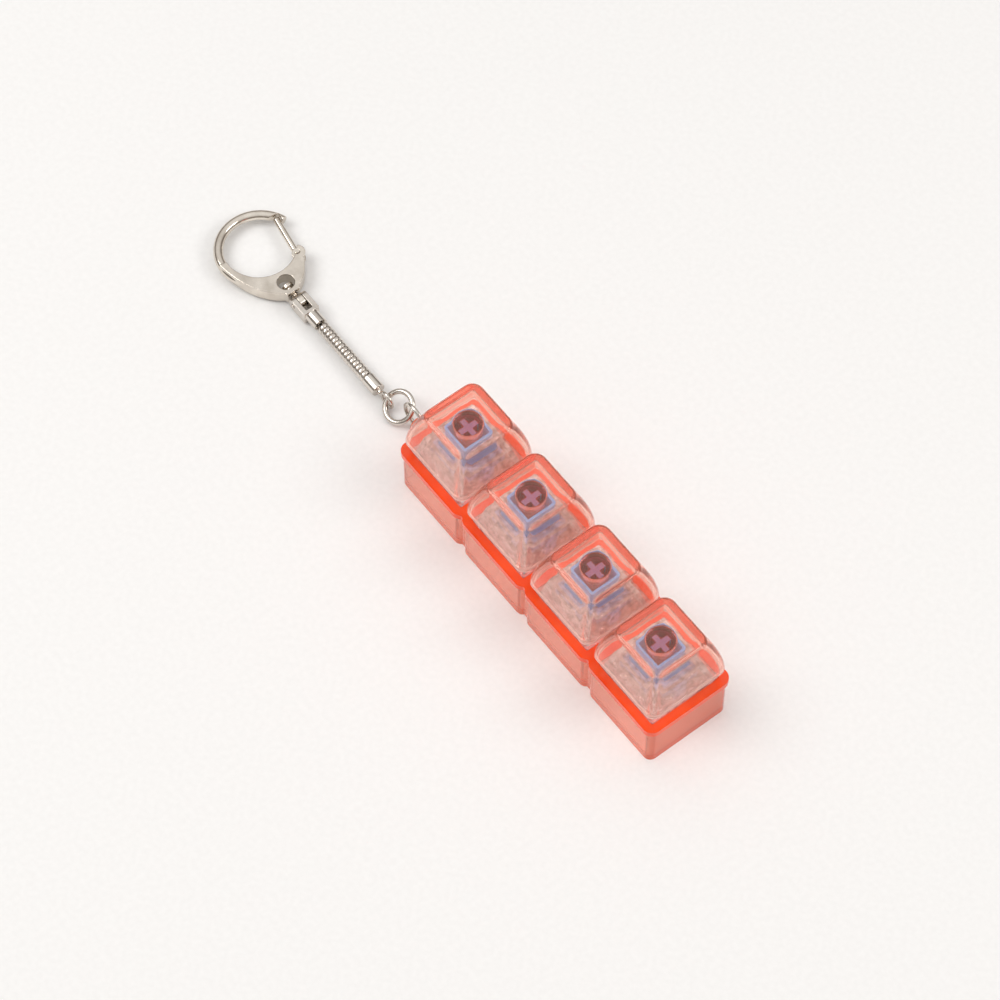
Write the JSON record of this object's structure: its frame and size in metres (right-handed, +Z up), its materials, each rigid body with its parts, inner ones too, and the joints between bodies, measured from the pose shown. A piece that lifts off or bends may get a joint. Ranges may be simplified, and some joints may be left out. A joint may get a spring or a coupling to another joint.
{
  "type": "finger exerciser",
  "caption": "Keychain finger exerciser: a row of sprung click keys in a clear case, with a ring, a spring-sheathed link and a swivel snap hook.",
  "frame": {"origin": "centre of the case's flat underside", "axes": "+X along the row of keys, away from the chain; +Y across the case; +Z up, out of the keycaps"},
  "size_m": [0.1432, 0.0194, 0.0252],
  "materials": {
    "clear orange plastic": "clear tinted, glossy",
    "orange plastic": "translucent bright orange, glossy",
    "clear housing plastic": "clear, slightly frosted",
    "pale blue plastic": "satin, slightly see-through",
    "contact bronze": "satin sheet",
    "nickel": "bright nickel plate, warm"
  },
  "bodies": {
    "case": {"case_tray": "clear orange plastic", "top_frame": "orange plastic", "switch_base_1": "clear housing plastic", "switch_base_2": "clear housing plastic", "switch_base_3": "clear housing plastic", "switch_base_4": "clear housing plastic", "switch_top_1": "clear housing plastic", "switch_top_2": "clear housing plastic", "switch_top_3": "clear housing plastic", "switch_top_4": "clear housing plastic", "contacts_1": "contact bronze", "contacts_2": "contact bronze", "contacts_3": "contact bronze", "contacts_4": "contact bronze", "click_bar_1": "nickel", "click_bar_2": "nickel", "click_bar_3": "nickel", "click_bar_4": "nickel", "return_spring_1": "nickel", "return_spring_2": "nickel", "return_spring_3": "nickel", "return_spring_4": "nickel"},
    "key_1": {"key_stem_1": "pale blue plastic", "keycap_1": "clear orange plastic"},
    "key_2": {"key_stem_2": "pale blue plastic", "keycap_2": "clear orange plastic"},
    "key_3": {"key_stem_3": "pale blue plastic", "keycap_3": "clear orange plastic"},
    "key_4": {"key_stem_4": "pale blue plastic", "keycap_4": "clear orange plastic"},
    "connector": {"connector_ring": "nickel"},
    "ring": {"chain_ring": "nickel"},
    "link": {"lower_ferrule": "nickel", "spring_sheath": "nickel", "core_wire": "nickel", "yoke": "nickel", "yoke_pin": "nickel"},
    "stud": {"swivel_stud": "nickel"},
    "hook": {"snap_hook": "nickel", "gate_pin": "nickel", "gate_spring": "nickel"},
    "gate": {"gate": "nickel"}
  },
  "joints": [
    {"name": "key_1_press", "type": "slide", "parent": "case", "child": "key_1", "axis": [0, 0, -1], "range_m": [0, 0.0034], "stiffness_N_per_m": 60, "springref_m": -0.0078, "deforming": ["return_spring_1"]},
    {"name": "key_2_press", "type": "slide", "parent": "case", "child": "key_2", "axis": [0, 0, -1], "range_m": [0, 0.0034], "stiffness_N_per_m": 60, "springref_m": -0.0078, "deforming": ["return_spring_2"]},
    {"name": "key_3_press", "type": "slide", "parent": "case", "child": "key_3", "axis": [0, 0, -1], "range_m": [0, 0.0034], "stiffness_N_per_m": 60, "springref_m": -0.0078, "deforming": ["return_spring_3"]},
    {"name": "key_4_press", "type": "slide", "parent": "case", "child": "key_4", "axis": [0, 0, -1], "range_m": [0, 0.0034], "stiffness_N_per_m": 60, "springref_m": -0.0078, "deforming": ["return_spring_4"]},
    {"name": "connector_swing", "type": "hinge", "parent": "case", "child": "connector", "pos_m": [-0.04433, 0, 0.0036], "axis": [0, 1, 0], "range_deg": [-70, 70]},
    {"name": "ring_swing", "type": "hinge", "parent": "connector", "child": "ring", "pos_m": [-0.04852, 0, 0.003], "axis": [0, -0.5878, 0.809], "range_deg": [-40, 45]},
    {"name": "link_swing", "type": "hinge", "parent": "ring", "child": "link", "pos_m": [-0.05276, -0.00138, 0.002], "axis": [0, 1, 0], "range_deg": [-60, 60]},
    {"name": "hook_tilt", "type": "hinge", "parent": "link", "child": "stud", "pos_m": [-0.08096, -0.00138, 0.002], "axis": [0, 1, 0], "range_deg": [-80, 80]},
    {"name": "hook_swivel", "type": "hinge", "parent": "stud", "child": "hook", "pos_m": [-0.08296, -0.00138, 0.002], "axis": [1, 0, 0], "continuous": true},
    {"name": "gate_open", "type": "hinge", "parent": "hook", "child": "gate", "pos_m": [-0.09006, 0.00461, 0.002], "axis": [0, 0, 1], "range_deg": [0, 35], "stiffness_Nm_per_rad": 0.0012, "springref_deg": -28.65}
  ]
}
